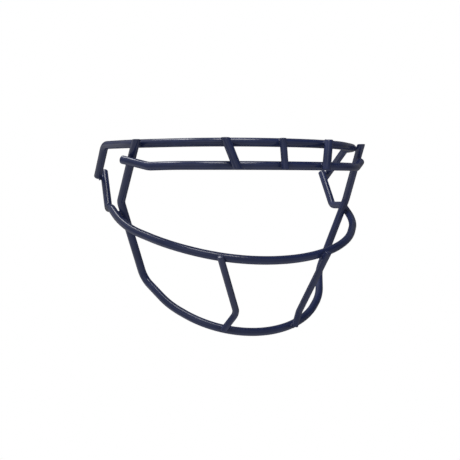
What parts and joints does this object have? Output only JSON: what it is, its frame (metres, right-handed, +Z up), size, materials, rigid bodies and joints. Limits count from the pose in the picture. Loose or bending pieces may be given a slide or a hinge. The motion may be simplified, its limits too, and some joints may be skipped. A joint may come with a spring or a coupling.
{
  "type": "football faceguard",
  "caption": "Faceguard for an American football helmet: a welded cage of round coated steel bars, open at eye level, curved round the brow, cheeks and jaw.",
  "frame": {"origin": "middle of the bounding box in X and Y, at the height of the lowest point of the jaw bar", "axes": "+Z up as worn, the front of the guard faces -Y, X across the face with left at -X as seen by someone facing the guard"},
  "size_m": [0.2393, 0.1584, 0.1595],
  "materials": {
    "upper_brow_bar_coating": "semi-gloss coating",
    "lower_brow_bar_coating": "semi-gloss coating",
    "side_jaw_loop_coating": "semi-gloss coating",
    "mid_bar_coating": "semi-gloss coating",
    "brow_connector_left_coating": "semi-gloss coating",
    "lower_upright_left_coating": "semi-gloss coating",
    "brow_connector_right_coating": "semi-gloss coating",
    "lower_upright_right_coating": "semi-gloss coating",
    "brow_connector_centre_coating": "semi-gloss coating",
    "weld_upper_brow_connector_centre_coating": "semi-gloss coating over a weld",
    "weld_lower_brow_connector_centre_coating": "semi-gloss coating over a weld",
    "weld_upper_brow_connector_left_coating": "semi-gloss coating over a weld",
    "weld_lower_brow_connector_left_coating": "semi-gloss coating over a weld",
    "weld_upper_brow_side_left_coating": "semi-gloss coating over a weld",
    "weld_lower_brow_side_left_coating": "semi-gloss coating over a weld",
    "weld_mid_side_left_coating": "semi-gloss coating over a weld",
    "weld_mid_upright_left_coating": "semi-gloss coating over a weld",
    "weld_jaw_upright_left_coating": "semi-gloss coating over a weld",
    "weld_upper_brow_mid_left_coating": "semi-gloss coating over a weld",
    "weld_upper_brow_connector_right_coating": "semi-gloss coating over a weld",
    "weld_lower_brow_connector_right_coating": "semi-gloss coating over a weld",
    "weld_upper_brow_side_right_coating": "semi-gloss coating over a weld",
    "weld_lower_brow_side_right_coating": "semi-gloss coating over a weld",
    "weld_mid_side_right_coating": "semi-gloss coating over a weld",
    "weld_mid_upright_right_coating": "semi-gloss coating over a weld",
    "weld_jaw_upright_right_coating": "semi-gloss coating over a weld",
    "weld_upper_brow_mid_right_coating": "semi-gloss coating over a weld"
  },
  "bodies": {
    "root": {"upper_brow_bar": "upper_brow_bar_coating", "lower_brow_bar": "lower_brow_bar_coating", "side_jaw_loop": "side_jaw_loop_coating", "mid_bar": "mid_bar_coating", "brow_connector_left": "brow_connector_left_coating", "lower_upright_left": "lower_upright_left_coating", "brow_connector_right": "brow_connector_right_coating", "lower_upright_right": "lower_upright_right_coating", "brow_connector_centre": "brow_connector_centre_coating", "weld_upper_brow_connector_centre": "weld_upper_brow_connector_centre_coating", "weld_lower_brow_connector_centre": "weld_lower_brow_connector_centre_coating", "weld_upper_brow_connector_left": "weld_upper_brow_connector_left_coating", "weld_lower_brow_connector_left": "weld_lower_brow_connector_left_coating", "weld_upper_brow_side_left": "weld_upper_brow_side_left_coating", "weld_lower_brow_side_left": "weld_lower_brow_side_left_coating", "weld_mid_side_left": "weld_mid_side_left_coating", "weld_mid_upright_left": "weld_mid_upright_left_coating", "weld_jaw_upright_left": "weld_jaw_upright_left_coating", "weld_upper_brow_mid_left": "weld_upper_brow_mid_left_coating", "weld_upper_brow_connector_right": "weld_upper_brow_connector_right_coating", "weld_lower_brow_connector_right": "weld_lower_brow_connector_right_coating", "weld_upper_brow_side_right": "weld_upper_brow_side_right_coating", "weld_lower_brow_side_right": "weld_lower_brow_side_right_coating", "weld_mid_side_right": "weld_mid_side_right_coating", "weld_mid_upright_right": "weld_mid_upright_right_coating", "weld_jaw_upright_right": "weld_jaw_upright_right_coating", "weld_upper_brow_mid_right": "weld_upper_brow_mid_right_coating"}
  },
  "joints": []
}
